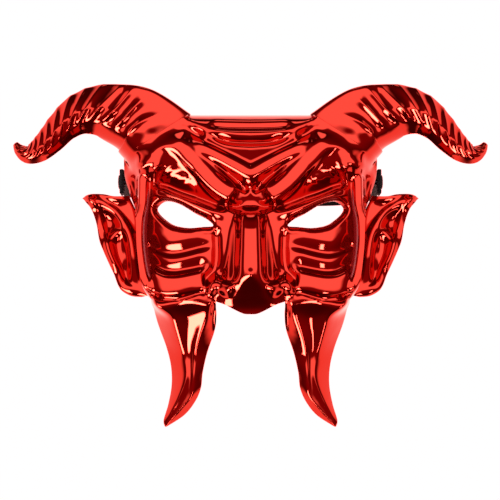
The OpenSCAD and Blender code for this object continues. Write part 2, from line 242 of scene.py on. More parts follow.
def nose(x, z):
    low_height = graph([
        (14, 0), (8, 0.4), (3, 2), (-3, 5), (-10, 5.6), (-20, 6.3), (-30, 7.2), (-37, 7.5), (-46, 5),
        (-54, 1.5), (-60, 0),
    ], z)
    low_half = graph([
        (14, 7), (0, 10), (-10, 12.5), (-20, 14), (-30, 15.5), (-38, 17), (-46, 19), (-60, 21),
    ], z)
    top_height = graph([
        (14, 0), (8, 1.5), (3, 3.6), (-3, 5.6), (-7, 6.9), (-20, 8), (-30, 8.6), (-34, 8.6),
        (-37.5, 7.6), (-42, 5.2), (-47, 2.8), (-56, 0),
    ], z)
    top_half = graph([(8, 8), (-7, 8), (-29, 9.2), (-36, 9.8), (-44, 15), (-54, 20)], z)
    low = low_height * (1 - np.clip(x / low_half, 0, 1) ** 4)
    top = top_height * (1 - np.clip(x / top_half, 0, 1) ** 3.5)
    shape = low + top
    shape += bump(x, z, (0, -34.6), (2.3, 2.3), 1.4, 3)
    shape += ribbon(x, z, [
        (11, -45), (16, -42), (20.5, -41), (23, -43.5), (22.5, -48),
    ], 4.6, 5, (0.12, 0.25))
    shape += groove(x, z, [
        (12, -38), (14.5, -38.8), (17.5, -37), (17, -34), (14, -33.6),
    ], 1.5, 2.5, (0.2, 0.2))
    shape += groove(x, z, [(20.5, -6), (20, -20), (21, -31), (26.5, -38), (27, -48)], 2.2, 3.5, (0.15, 0.1))
    shape += fold(x, z, [(0, -6.5), (6, -6.5), (11.5, -6.8)], 4, 0.8, (0, 0.3), 0.35)
    return shape


lid_top = [(13, 3), (20, 4.5), (29, 8), (41.6, 12.6), (50, 16.3), (58, 18.5)]


def brow(x, z):
    shape = fold(x, z, [(0, 51.2), (12, 51.3), (20, 52), (25, 53.5)], 6, 4.6, (0, 0.35), 1.2)
    shape += fold(x, z, [(0, 41.8), (10, 42.4), (18, 44.2), (26, 48.5)], 6, 4.8, (0, 0.35), 1.2)
    shape += fold(x, z, [
        (0, 29.6), (3, 31.3), (11, 35.3), (23, 40.3), (34, 43.8), (41, 45.5),
    ], 9, 2.2, (0, 0.12), 1.2, 1)
    shape += fold(x, z, [(0, 3), (9, 3.6), (15, 6)], 17, 9.5, (0, 0.35), 1.6, 1)
    shape += fold(x, z, [(3, 13), (9, 20), (16, 26), (24, 33.5), (34, 43)], 10, 3, (0.05, 0.25), 1.2, 1)
    shape += fold(x, z, [(3, 13), (9, 20), (16, 26), (22, 31)], 5, 2.6, (0.05, 0.6), 1.2, 1)
    for reach, drop in ((26, 6.2), (10, 2.6)):
        shape += fold(x, z, lid_top, reach, drop, (0.25, 0.12), power=1)
    shape += groove(x, z, [(46, 50.5), (39, 52), (33, 49), (27, 45)], 3.4, 4.2, (0.25, 0.25))
    shape += ribbon(x, z, [(15, -0.5), (26.3, 3.6), (41.6, 9.8), (52, 13.6), (58, 14)], 2.9, 3, (0.2, 0.15))
    shape += brow_hair(x, z)
    shape += groove(x, z, [(60, 30), (59.6, 20), (60.6, 10), (61.5, 3)], 1.2, 2, (0.2, 0.2))
    shape += bump(x, z, (66, 30), (2.4, 2.2), -1.6) + bump(x, z, (64.5, 28.4), (1.2, 1), 1.6)
    return shape


def brow_hair(x, z):
    """Short strands along the lower brow, each swept outwards and up."""
    d, along = near(x, z, [(35, 19.5), (44, 23.2), (52, 26), (61, 28)])
    there = taper(along, 0.25, 0.15) * np.exp(-(d / 3.8) ** 4)
    comb = 15 * along + 0.4 * d + 1.2 * np.sin(9 * along)
    return there * 1.3 * np.abs(np.sin(comb)) * (0.75 + 0.25 * np.sin(17 * along + 0.6 * d))


def cheek(x, z):
    shape = fold(x, z, [
        (20, -11), (30, -11.3), (42, -11), (50, -8.5), (57, -3.5), (61, 2),
    ], 4, 1.8, (0.2, 0.2), 0.6)
    shape += fold(x, z, [
        (21, -17.8), (33, -21.4), (45.5, -23.8), (54, -22.3), (62, -18),
    ], 9.5, 4.2, (0.2, 0.04), 1)
    shape += fold(x, z, [
        (23.5, -29), (33, -33), (46, -36.2), (55, -34.6), (62, -31),
    ], 9.5, 4.2, (0.2, 0.04), 1)
    shape += fold(x, z, [(26, -43.5), (34, -47.6), (44, -51), (54, -51)], 5.5, 3, (0.2, 0.2))
    shape += groove(x, z, [
        (62.4, 6), (63.6, -6), (63.6, -22), (61.4, -37), (55.5, -47), (48, -54),
    ], 1.5, 3.2, (0.1, 0.25))
    shape += bump(x, z, (45, -41), (15, 4.5), 1.5, 4)
    return shape


# Middle lines of the raised bands, across and up
frown_lobe = [
    (9, 11.5), (12, 13.2), (17, 16), (23, 21), (29, 27.5), (35.5, 34.5), (42, 41), (50, 44.5), (58, 42),
    (63, 36),
]
brow_band = [(-8, 29), (0, 25.2), (8, 29), (18, 34.6), (28, 39.4), (38, 43.5)]
side_bead = [(64.2, 22), (64.4, 8), (66.3, -2), (66.8, -12), (65.8, -25), (63.4, -37), (58.5, -46)]
cheek_lobe = [(27, -38), (36, -39.8), (45, -41.2), (53, -40.5), (61, -37)]


def eye_rim(x, z):
    """The rolled edge of an eye hole."""
    d, _ = to_loop(x, z, eye_loop)
    lip = 1.6 * np.exp(-((d - 2.4) / 1.5) ** 2)
    roll = -2.6 * np.clip(1 - d / 2.2, 0, 1) ** 2
    socket = -1.2 * np.exp(-(np.maximum(d, 0) / 7) ** 2)
    return lip + roll + socket


# Across and down: a tusk's edges, and the two lines its front is folded on
tusk_outer = [
    (-40, 64), (-50, 60), (-64.5, 56), (-78.8, 50.8), (-90.4, 48), (-101.8, 47.6), (-113.3, 49.6),
    (-123, 52.4), (-127, 51.6),
]
tusk_fold = [
    (-40, 62), (-47.3, 60.9), (-54.6, 55.4), (-60.6, 47.1), (-68.4, 44.3), (-77.6, 41.6), (-86.8, 38.8),
    (-97, 38.4), (-108, 42.5), (-118, 47.8), (-127, 51.3),
]
tusk_crest = [
    (-40, 22), (-50, 23.2), (-60, 26), (-69.3, 29.6), (-78.5, 32.4), (-89.5, 33.8), (-100.6, 34.3),
    (-108.8, 35.8), (-118, 43.6), (-126, 50.5), (-127, 51),
]
tusk_inner = [
    (-40, 19), (-50, 20.6), (-59.3, 20.3), (-68.4, 21.4), (-82.2, 26), (-94.1, 28.7), (-103.3, 29.8),
    (-111.6, 33.3), (-119.9, 39.9), (-127, 50.6),
]
tusk_low = -127


def tusk_stand(x, z):
    """How far a tusk's front stands before the rim."""
    down = np.clip((z - jaw_z) / (tusk_low - jaw_z), 0, 1)
    out, fold_x, crest_x, inn = (graph(line, z) for line in (tusk_outer, tusk_fold, tusk_crest, tusk_inner))
    out_h = graph([(-40, 0), (-50, 0), (-62, 0.5), (-75, 1), (-100, 1), (-127, 1)], z)
    fold_h = graph([
        (-40, 31.5), (-50, 29), (-60, 22), (-70, 17.2), (-80, 13), (-86, 11.8), (-97, 11.4),
        (-108, 8.6), (-118, 5), (-127, 1.6),
    ], z)
    crest_h = graph([
        (-40, 31.5), (-50, 30.5), (-60, 24.5), (-70, 19.8), (-80, 15.8), (-86, 14), (-97, 13),
        (-108, 10.4), (-118, 6.2), (-127, 2),
    ], z)
    inn_h = graph([
        (-40, 26), (-50, 24), (-60, 19), (-70, 14), (-80, 11), (-90, 9.6), (-105, 7.6), (-118, 3),
        (-127, 1),
    ], z)
    bevel = np.clip((out - x) / np.maximum(out - fold_x, 0.3), 0, 1)
    panel = np.clip((fold_x - x) / np.maximum(fold_x - crest_x, 0.3), 0, 1)
    inside = np.clip((crest_x - x) / np.maximum(crest_x - inn, 0.3), 0, 1)
    outer_side = lerp(out_h, fold_h, 1 - (1 - bevel) ** 1.25)
    hollow = 1.4 * np.sin(math.pi * panel) ** 1.5 * smooth((1 - down) / 0.7)
    front = lerp(fold_h, crest_h, panel) - hollow
    inner_side = lerp(crest_h, inn_h, inside ** 1.15)
    return np.where(x > fold_x, outer_side, np.where(x > crest_x, front, inner_side))


def tusk_share(x, z):
    return smooth((-44 - z) / 13) * smooth((x - 18.5) / 4)


def root_profile(towards_crown):
    """The depth of the horn's root across the joint: round below, flat-fronted above."""
    power = np.where(towards_crown > 0, 20, 2)
    return np.maximum(0, 1 - np.abs(towards_crown) ** power) ** (1 / power)


def rounded_min(a, b, soft=1.5):
    return -rounded_max(-a, -b, soft)


def face_stand(u, v, x, z):
    """How far the face stands before its rim."""
    edge_x = spline(side_line, v)[..., 0]
    wall_width = graph([(-60, 3), (-20, 3), (0, 4), (10, 8), (40, 9), (70, 9)], z)
    wall_stand = side_wall_stand * np.maximum(0, 1 - u) * edge_x / wall_width
    rolled = face_depth * np.maximum(0, 1 - u ** 6) ** (1 / 6)
    side = np.maximum(0, rounded_min(rolled, wall_stand)) * (u < 1)
    top = np.maximum(0, 1 - v ** 26) ** 0.5
    by_forehead = 1 - smooth((u - top_corner_at) / 0.12)
    turned = cheek_turn * np.clip((np.abs(x) - 28) / 32, 0, 1.2) ** 2 * smooth((32 - z) / 12)
    plain = side * lerp(1, top, by_forehead) - turned * smooth((1 - u) / 0.1)
    relief = nose(x, z) + brow(x, z) + cheek(x, z) + eye_rim(x, z)
    own = plain + relief * smooth((1 - u) / 0.07) * smooth((1 - v) / 0.05)
    own = raised(own, plain + 0.8, x, z, brow_band, 4.4, 4, (0, 0.2), 5)
    own = raised(own, plain + 1.5, x, z, frown_lobe, 6.2, 5, (0.08, 0.04), 5)
    own = raised(own, plain + 0.6 * turned + 1, x, z, cheek_lobe, 7.2, 5, (0.06, 0.06), 8)
    own = raised(own, bead_stand, x, z, side_bead, 3.3, 4, (0.4, 0.1), 6)
    along_joint = (x - joint_middle[0]) * joint_way[0] + (z - joint_middle[1]) * joint_way[1]
    far = -((x - joint_middle[0]) * joint_out[0] + (z - joint_middle[1]) * joint_out[1])
    past_crown = u > top_corner_at - 0.08
    by_joint = (1 - smooth(far / 12)) * smooth((along_joint + joint_half) / 3) * past_crown
    root = root_bulge * root_profile(np.clip(-along_joint / joint_half, -1, 1))
    own = lerp(own, root, by_joint)
    return lerp(own, tusk_stand(x, z), tusk_share(x, z))


# ---------- meshes ----------

def tidy(points, quads):
    """Leave out the points that no face uses."""
    used = np.unique(quads)
    renumber = np.zeros(len(points), int)
    renumber[used] = np.arange(len(used))
    return points[used], renumber[quads]


def shell(front, back, keep):
    """A closed thin moulding between two grids, over the cells that are kept."""
    m, n = front.shape[:2]
    j, i = np.nonzero(keep)
    a = j * n + i
    quads = np.stack([a, a + 1, a + n + 1, a + n], -1)
    edges = np.concatenate([quads[:, [k, (k + 1) % 4]] for k in range(4)])
    code = edges[:, 0] * (m * n) + edges[:, 1]
    back_code = edges[:, 1] * (m * n) + edges[:, 0]
    border = edges[~np.isin(code, back_code)]
    walls = np.stack([border[:, 1], border[:, 0], border[:, 0] + m * n, border[:, 1] + m * n], -1)
    points = np.concatenate([front.reshape(-1, 3), back.reshape(-1, 3)])
    return tidy(points, np.concatenate([quads, quads[:, ::-1] + m * n, walls]))


def add(name, points, faces, materials, body, mirrored=False, sharp=60):
    """A smooth mesh object that moves with a body."""
    p = np.array(points, float) * MM
    if mirrored:
        p[:, 0] *= -1
        faces = [list(f)[::-1] for f in faces]
    mesh = bpy.data.meshes.new(name)
    mesh.from_pydata(p.tolist(), [], [list(map(int, f)) for f in faces])
    for material in materials:
        mesh.materials.append(material)
    mesh.shade_smooth()
    mesh.set_sharp_from_angle(angle=math.radians(sharp))
    obj = bpy.data.objects.new(name, mesh)
    bpy.context.scene.collection.objects.link(obj)
    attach(obj, body)
    return obj


steepest = 2.2


def steepness(grid):
    """How many times a wall's thickness goes straight back through it."""
    across = np.gradient(grid, axis=1)
    up = np.gradient(grid, axis=0)
    normal = np.cross(across, up)
    facing = np.maximum(np.abs(normal[..., 1]), 1e-6)
    return np.minimum(steepest, np.linalg.norm(normal, axis=-1) / facing)


def ring_quads(rings, sides):
    """The faces between each ring of points and the next."""
    faces = []
    for start in range(0, (rings - 1) * sides, sides):
        for k in range(sides):
            beside = (k + 1) % sides
            faces.append([start + k, start + beside, start + sides + beside, start + sides + k])
    return faces


def rod_faces(rings, sides):
    """The faces of a rod: its sides, then its two flat ends."""
    last = (rings - 1) * sides
    return ring_quads(rings, sides) + [list(range(sides))[::-1], list(range(last, last + sides))]


# ---------- materials ----------

def nodes_of(material):
    material.use_nodes = True
    tree = material.node_tree
    return tree, tree.nodes["Principled BSDF"]


def noise(tree, scale, detail=4, roughness=0.5):
    coordinates = tree.nodes.new("ShaderNodeTexCoord")
    node = tree.nodes.new("ShaderNodeTexNoise")
    node.inputs["Scale"].default_value = scale
    node.inputs["Detail"].default_value = detail
    node.inputs["Roughness"].default_value = roughness
    tree.links.new(coordinates.outputs["Object"], node.inputs["Vector"])
    return node


def spread(tree, value, low, high, start=0.3, end=0.7):
    node = tree.nodes.new("ShaderNodeMapRange")
    node.inputs["From Min"].default_value = start
    node.inputs["From Max"].default_value = end
    node.inputs["To Min"].default_value = low
    node.inputs["To Max"].default_value = high
    tree.links.new(value, node.inputs["Value"])
    return node.outputs["Result"]


def bumped(tree, height, distance, normal=None, strength=1.0):
    node = tree.nodes.new("ShaderNodeBump")
    node.inputs["Strength"].default_value = strength
    node.inputs["Distance"].default_value = distance
    tree.links.new(height, node.inputs["Height"])
    if normal is not None:
        tree.links.new(normal, node.inputs["Normal"])
    return node.outputs["Normal"]


def red_metallised():
    """Bright red vacuum-metallised plastic: a tinted mirror with a faint moulded waviness."""
    material = bpy.data.materials.new("red_metallised")
    tree, surface = nodes_of(material)
    surface.inputs["Base Color"].default_value = (0.5, 0.035, 0.0225, 1)
    surface.inputs["Metallic"].default_value = 1
    smears = noise(tree, 90, 3)
    tree.links.new(spread(tree, smears.outputs["Fac"], 0.035, 0.075), surface.inputs["Roughness"])
    waves = noise(tree, 55, 2)
    tree.links.new(bumped(tree, waves.outputs["Fac"], 0.0004), surface.inputs["Normal"])
    return material


def red_inside():
    """The unplated back of the moulding: satin red plastic."""
    material = bpy.data.materials.new("red_inside")
    tree, surface = nodes_of(material)
    surface.inputs["Base Color"].default_value = (0.3, 0.01, 0.012, 1)
    mottle = noise(tree, 40, 5)
    tree.links.new(spread(tree, mottle.outputs["Fac"], 0.32, 0.5), surface.inputs["Roughness"])
    grain = noise(tree, 900, 2)
    tree.links.new(bumped(tree, grain.outputs["Fac"], 0.0001), surface.inputs["Normal"])
    return material


def elastic():
    """Black braided elastic."""
    material = bpy.data.materials.new("elastic")
    tree, surface = nodes_of(material)
    threads = noise(tree, 700, 3)
    ramp = tree.nodes.new("ShaderNodeValToRGB")
    ramp.color_ramp.elements[0].color = (0.002, 0.0025, 0.003, 1)
    ramp.color_ramp.elements[1].color = (0.01, 0.011, 0.012, 1)
    tree.links.new(threads.outputs["Fac"], ramp.inputs["Fac"])
    tree.links.new(ramp.outputs["Color"], surface.inputs["Base Color"])
    surface.inputs["Roughness"].default_value = 0.9
    surface.inputs["Specular IOR Level"].default_value = 0.15
    surface.inputs["Sheen Weight"].default_value = 0.08
    tree.links.new(bumped(tree, threads.outputs["Fac"], 0.0003), surface.inputs["Normal"])
    return material


def steel():
    material = bpy.data.materials.new("rivet_steel")
    tree, surface = nodes_of(material)
    surface.inputs["Base Color"].default_value = (0.025, 0.025, 0.03, 1)
    surface.inputs["Metallic"].default_value = 1
    brushed = noise(tree, 600, 4)
    tree.links.new(spread(tree, brushed.outputs["Fac"], 0.18, 0.42), surface.inputs["Roughness"])
    tree.links.new(bumped(tree, brushed.outputs["Fac"], 0.00005), surface.inputs["Normal"])
    return material


def peg_plastic():
    material = bpy.data.materials.new("peg_plastic")
    tree, surface = nodes_of(material)
    surface.inputs["Base Color"].default_value = (0.2, 0.008, 0.012, 1)
    mottle = noise(tree, 300, 4)
    tree.links.new(spread(tree, mottle.outputs["Fac"], 0.35, 0.6), surface.inputs["Roughness"])
    tree.links.new(bumped(tree, mottle.outputs["Fac"], 0.0001), surface.inputs["Normal"])
    return material


def thread():
    material = bpy.data.materials.new("thread")
    tree, surface = nodes_of(material)
    surface.inputs["Base Color"].default_value = (0.025, 0.025, 0.028, 1)
    surface.inputs["Roughness"].default_value = 0.6
    twist = noise(tree, 1500, 2)
    tree.links.new(bumped(tree, twist.outputs["Fac"], 0.0002), surface.inputs["Normal"])
    return material


plated = red_metallised()
inside_red = red_inside()
black_elastic = elastic()
rivet_steel = steel()
peg_red = peg_plastic()
black_thread = thread()


# ---------- face ----------

half_columns = 150
face_rows = 216
skirt_rows = 6
face_easing = 6


def softened(depth, times, margin):
    """Ease the sharpest turns of a grid of depths, all but its edges."""
    inner = np.s_[1:-margin, margin:-margin]
    depth = depth.copy()
    for _ in range(times):
        easy = depth.copy()
        for axis in (0, 1):
            easy = (2 * easy + np.roll(easy, 1, axis) + np.roll(easy, -1, axis)) / 4
        depth[inner] = easy[inner]
    return depth


def face_grid():
    s = np.linspace(0, 1, half_columns + 1)
    u = 0.62 * np.sin(s * math.pi / 2) + 0.38 * s
    u[np.argmin(np.abs(u - bottom_corner_at))] = bottom_corner_at
    t = np.linspace(0, 1, face_rows + 1)
    v = lerp(t, np.sin(t * math.pi / 2), 0.5)
    u_grid, v_grid = np.meshgrid(u, v)
    p = face_xz(u_grid, v_grid)
    x, z = p[..., 0], p[..., 1]
    d, spot = to_loop(x, z, eye_loop)
    hole = d < 0
    beside = np.zeros_like(hole)
    for dj, di in ((0, 1), (1, 0), (0, -1), (-1, 0), (1, 1), (-1, -1), (1, -1), (-1, 1)):
        beside |= np.roll(np.roll(hole, dj, 0), di, 1)
    snap = beside & ~hole
    x = np.where(snap, spot[..., 0], x)
    z = np.where(snap, spot[..., 1], z)
    y = rim_y - face_stand(u_grid, v_grid, x, z)
    y = np.minimum(y, rim_y)
    grid = np.stack([x, y, z], -1)
    # the sides and the top run straight back to the rim
    steps = np.linspace(0, 1, skirt_rows + 1)[1:]
    side = np.stack([grid[:, -1] + (back_y - grid[:, -1, 1])[:, None] * [0, k, 0] for k in steps], 1)
    grid = np.concatenate([grid, side], 1)
    hole = np.concatenate([hole, np.zeros((len(hole), skirt_rows), bool)], 1)
    top = np.stack([grid[-1] + (back_y - grid[-1, :, 1])[:, None] * [0, k, 0] for k in steps], 0)
    grid = np.concatenate([grid, top], 0)
    hole = np.concatenate([hole, np.zeros((skirt_rows, hole.shape[1]), bool)], 0)
    left = grid[:, :0:-1] * [-1, 1, 1]
    both = np.concatenate([left, grid], 1)
    both[..., 1] = softened(both[..., 1], face_easing, skirt_rows + 1)
    return both, np.concatenate([hole[:, :0:-1], hole], 1)


def inner_skin(grid, rim_cells):
    """The inside of a moulding, a wall behind its front."""
    back = grid * [inner_shrink, 1, inner_shrink]
    deep = wall * steepness(grid)
    for edge in rim_cells:
        deep[edge] = 0
    back[..., 1] += deep
    back[..., 1] = np.minimum(back[..., 1], back_y)
    return back


def sheet_back(front, thickest):
    """The back of an open sheet, a wall behind its front."""
    back = front.copy()
    back[..., 1] += np.minimum(wall * steepness(front), thickest)
    return back


def make_moulding(name, front, back, keep, mirrored=False):
    """A thin moulding in place of a CAD node, plated in front and unplated behind."""
    points, quads = shell(front, back, keep)
    piece = add(name + "_skin", points, quads, [plated, inside_red], "mask", mirrored)
    cells = int(keep.sum())
    index = np.zeros(len(quads), np.int32)
    index[cells:2 * cells] = 1
    piece.data.polygons.foreach_set("material_index", index)
    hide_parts(name)


def make_face():
    front, hole = face_grid()
    back = inner_skin(front, [np.s_[:, 0], np.s_[:, -1], np.s_[-1, :]])
    keep = ~(hole[1:, 1:] | hole[1:, :-1] | hole[:-1, 1:] | hole[:-1, :-1])
    make_moulding("face_shell", front, back, keep)


make_face()


# ---------- tusks ----------

tusk_rows = 130
tusk_columns = 72
tusk_easing = 5


def make_tusk(name, mirrored):
    s = np.linspace(0, 1, tusk_columns + 1)
    t = np.linspace(0, 1, tusk_rows + 1)
    s_grid, t_grid = np.meshgrid(s, t)
    jaw_x = lerp(nose_corner[0], jaw_corner[0], s_grid)
    jaw_line = lerp(nose_corner[1], jaw_corner[1], s_grid)
    z = lerp(jaw_line, tusk_low, t_grid)
    free_x = lerp(graph(tusk_inner, z), graph(tusk_outer, z), s_grid)
    x = lerp(jaw_x, free_x, smooth(t_grid / 0.08))
    under_jaw = face_stand(np.full(x.shape, 0.6), np.zeros(x.shape), x, z)
    stand = lerp(under_jaw, tusk_stand(x, z), tusk_share(x, z))
    edge_u = lerp(bottom_corner_at, 1, s_grid)
    at_jaw = face_stand(edge_u, np.zeros(x.shape), x, z)
    stand = lerp(at_jaw, stand, smooth(t_grid / 0.1))
    front = np.stack([x, softened(rim_y - stand, tusk_easing, 1), z], -1)[::-1]
    keep = np.ones((tusk_rows, tusk_columns), bool)
    make_moulding(name, front, sheet_back(front, 4), keep, mirrored)


make_tusk("tusk_right", False)
make_tusk("tusk_left", True)


# ---------- horns ----------

# Middle line from the joint: across, up, in depth, and half the width there
horn_stations = [
    (0, 0, 0, joint_half),
    (12, 9, 0, 21),
    (24, 13.5, -1, 18.3),
    (36, 15.5, -3, 15.4),
    (47, 13, -5, 12.6),
    (56, 6.5, -7, 10),
    (63.5, -2, -9, 8.6),
    (70.5, -8.5, -10, 7.2),
    (77, -11, -10, 5.6),
    (82, -8.5, -9, 3.8),
    (85, -4.5, -8, 1.6),
]
horn_rings = 300
horn_sides = 144
horn_ridges = 15
ridge_height = 1.6
keel_height = 0.05


def unit(v):
    return v / np.linalg.norm(v, axis=-1, keepdims=True)


def underside(below):
    """The horn's depth below its keel: a sloping face, then a steep one to the lower edge."""
    sloping = 1 - 0.5 * below ** 1.15
    steep = 1.45 * (1 - below)
    return np.maximum(0, rounded_min(sloping, steep, 0.14)) * (below < 1)


def horn_skin():
    t = np.linspace(0, 1, horn_rings + 1)
    stations = spline(horn_stations, t)
    middle = np.stack([
        joint_middle[0] + stations[:, 0],
        rim_y + stations[:, 2],
        joint_middle[1] + stations[:, 1],
    ], -1)
    own = unit(np.gradient(middle, axis=0))
    square = np.array([joint_out[0], 0, joint_out[1]])
    way = unit(lerp(square, own, smooth(t / 0.12)[:, None]))
    up = unit(np.cross(way, [0, 1, 0]))
    side = np.cross(up, way)
    angle = np.linspace(0, 2 * math.pi, horn_sides, endpoint=False)
    angle_grid, t_grid = np.meshgrid((angle + math.pi) % (2 * math.pi) - math.pi, t)
    skew = np.interp(t_grid, [0, 0.4, 0.8, 1], [0.03, 0.12, 0.12, 0.08])
    along = horn_ridges * (0.78 * t_grid + 0.22 * t_grid ** 2)
    phase = math.pi * (along + horn_ridges * skew * np.sin(angle_grid))
    degrees = np.degrees(angle_grid)
    below = smooth((degrees + 62) / 40) * smooth((200 - degrees) / 40)
    top_limit = np.interp(t_grid, [0, 0.12, 0.4, 1], [-10, 10, 100, 200])
    root_top = 1 - smooth((degrees - top_limit) / 45)
    fade = smooth(t_grid / 0.1) * smooth((1 - t_grid) / 0.12)
    size = np.clip(stations[:, 3] / 16, 0.25, 1)[:, None]
    ridge = ridge_height * size * (0.3 - np.abs(np.sin(phase))) * below * root_top * fade
    # the front stands out most along a keel below the middle
    keel = keel_height * smooth(t_grid / 0.3)
    height = np.sin(angle_grid)
    above = np.clip((height - keel) / (1 - keel), 0, 1)
    below_keel = np.clip((keel - height) / (1 + keel), 0, 1)
    ridge *= 1 - smooth((below_keel - 0.35) / 0.25) * (np.cos(angle_grid) > 0)
    radius = stations[:, 3][:, None] + 0.35 * ridge
    depth_radius = stations[:, 3][:, None] + 1.3 * ridge
    front = np.where(height > keel, (1 - above ** 1.25) ** 0.78, underside(below_keel))
    front = lerp(root_profile(height), front, smooth((t_grid - 0.12) / 0.28))
    depth = np.where(np.cos(angle_grid) > 0, front, np.cos(angle_grid))
    flat = np.interp(t, [0, 0.4, 1], [root_bulge / joint_half, 0.95, 0.95])[:, None]
    return (
        middle[:, None]
        + up[:, None] * (radius * np.sin(angle_grid))[..., None]
        - side[:, None] * (depth_radius * flat * depth)[..., None]
    )


def make_horn(name, mirrored):
    skin = horn_skin()
    m, n = skin.shape[:2]
    points = np.concatenate([skin.reshape(-1, 3), skin[-1].mean(0)[None]])
    j, i = np.meshgrid(np.arange(m - 1), np.arange(n), indexing="ij")
    a, b = (j * n + i).ravel(), (j * n + (i + 1) % n).ravel()
    faces = np.stack([a, a + n, b + n, b], -1).tolist()
    last = (m - 1) * n
    faces += [[last + (k + 1) % n, last + k, len(points) - 1] for k in range(n)]
    faces.append(list(range(n)))
    horn = add(name + "_skin", points, [f[::-1] for f in faces], [plated], "mask", mirrored)
    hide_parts(name)


make_horn("horn_right", False)
make_horn("horn_left", True)


# ---------- ears ----------

ear_rows = 110
ear_columns = 70
ear_easing = 12
ear_y = 15.5
ear_edge_line = [
    (66.2, -49), (72.4, -48.3), (77.7, -45.4), (80.4, -41.6), (82.6, -35.5), (85.7, -28.9),
    (89.2, -21), (91.7, -14.4), (93.5, -4.3), (96.6, 4.5), (102, 11),
]
ear_top_line = [(102, 11), (97.5, 13.4), (89, 13.4), (82.5, 12.2), (73.5, 12.4)]


def ear_relief(x, z):
    shape = ribbon(x, z, [(101, 11), (93, 11.9), (84, 10.8), (75, 10.8)], 2.6, 2, (0.06, 0.1))
    shape += ribbon(x, z, [
        (67, -46), (76, -43), (81, -34), (86, -24.5), (89.2, -14), (91.3, -4), (95, 5), (100, 10.5),
    ], 3.6, 2.4, (0.15, 0.05))
    shape += ribbon(x, z, [
        (100, 10.6), (90, 7), (82.5, 2.4), (76, -6), (72.6, -14), (71, -26), (70, -42),
    ], 3.2, 3.6, (0.06, 0.2))
    shape += ribbon(x, z, [
        (76.5, -7), (82, -10.5), (86, -15), (85, -21), (82.6, -27), (79.6, -34),
    ], 3, 2.6, (0.1, 0.2))
    shape += bump(x, z, (86, -4), (6.5, 8), -3.6)
    shape += bump(x, z, (79.6, -18), (3, 7), -2)
    shape += bump(x, z, (76, -35), (3, 8), -2.4)
    return shape


def make_ear(name, mirrored):
    s_grid, t_grid = np.meshgrid(np.linspace(0, 1, ear_columns + 1), np.linspace(0, 1, ear_rows + 1))
    root = spline(side_line, lerp(0.07, 0.67, t_grid))
    edge = spline(ear_edge_line, t_grid)
    top = spline(ear_top_line, 1 - s_grid)
    straight = lerp(root, edge, s_grid[..., None])
    top_straight = lerp(root[-1][None, :], edge[-1][None, :], s_grid[..., None])
    p = straight + (top - top_straight) * (smooth((t_grid - 0.6) / 0.4) ** 1.5)[..., None]
    x, z = p[..., 0], p[..., 1]
    y = ear_y + 3 * s_grid ** 2 - ear_relief(x, z)
    y = softened(lerp(ear_y + 1, y, smooth(s_grid / 0.05)), ear_easing, 1)
    front = np.stack([x, y, z], -1)
    keep = np.ones((ear_rows, ear_columns), bool)
    make_moulding(name, front, sheet_back(front, 3.5), keep, mirrored)


make_ear("ear_right", False)
make_ear("ear_left", True)


# ---------- turned pieces ----------

def lathe(profile, origin, axis, sides=40):
    """A solid turned from (along, radius) pairs, its first and last on the axis."""
    axis = unit(np.array(axis, float))
    aside = unit(np.cross(axis, [0, 1, 0]))
    third = np.cross(axis, aside)
    angle = np.linspace(0, 2 * math.pi, sides, endpoint=False)
    ring = aside * np.cos(angle)[:, None] + third * np.sin(angle)[:, None]
    rings = [np.array(origin) + axis * place + ring * radius for place, radius in profile[1:-1]]
    first = np.array(origin) + axis * profile[0][0]
    last = np.array(origin) + axis * profile[-1][0]
    faces = ring_quads(len(rings), sides)
    end = len(rings) * sides
    faces += [[(k + 1) % sides, k, end] for k in range(sides)]
    faces += [[end - sides + k, end - sides + (k + 1) % sides, end + 1] for k in range(sides)]
    return np.concatenate(rings + [[first, last]]), faces


rivet_y = back_y - 8
rivet_z = 21
strap_inside = temple_x + 0.3
elastic_thickness = 1.4
strap_outside = strap_inside + 2 * elastic_thickness
shell_side = spline(side_line, np.array(0.8))[0]
cap_end = shell_side * inner_shrink - 1.4
rivet_shank = 1.95
rivet_head = 4.2
# Profiles of the turned pieces: place along the axis, then radius
rivet_profile = [
    (temple_x - 8, 0), (temple_x - 8, 1.5), (temple_x - 7.7, rivet_shank),
    (shell_side + 1.2, rivet_shank), (shell_side + 1.3, 3.1),
    (temple_x - 0.1, 3.2), (temple_x, rivet_shank),
    (strap_outside + 0.2, rivet_shank), (strap_outside + 0.2, 4), (strap_outside + 0.35, rivet_head),
    (strap_outside + 0.6, 4), (strap_outside + 0.85, 3.2), (strap_outside + 1, 1.8), (strap_outside + 1, 0),
]
cap_profile = [
    (cap_end - 1.4, 0), (cap_end - 1.4, 1.4), (cap_end - 2, 2), (cap_end - 1.9, 3.4), (cap_end - 1.5, 4.1),
    (cap_end - 0.5, rivet_head), (cap_end, 3.9), (cap_end, 0),
]
peg_shank = 1.95
peg_profile = [
    (-4.2, 0), (-4.1, 1.2), (-4, 3.2), (-3.7, 3.8), (-3.2, 4), (-2.7, 3.9), (-2.5, 3.6),
    (-2.5, peg_shank), (4.5, peg_shank), (5, 1.5), (5, 0),
]
peg_apart = 11


def make_turned(name, profile, origin, axis, material, mirrored):
    points, faces = lathe(profile, origin, axis)
    piece = add(name, points, faces, [material], "mask", mirrored, sharp=35)
    return piece


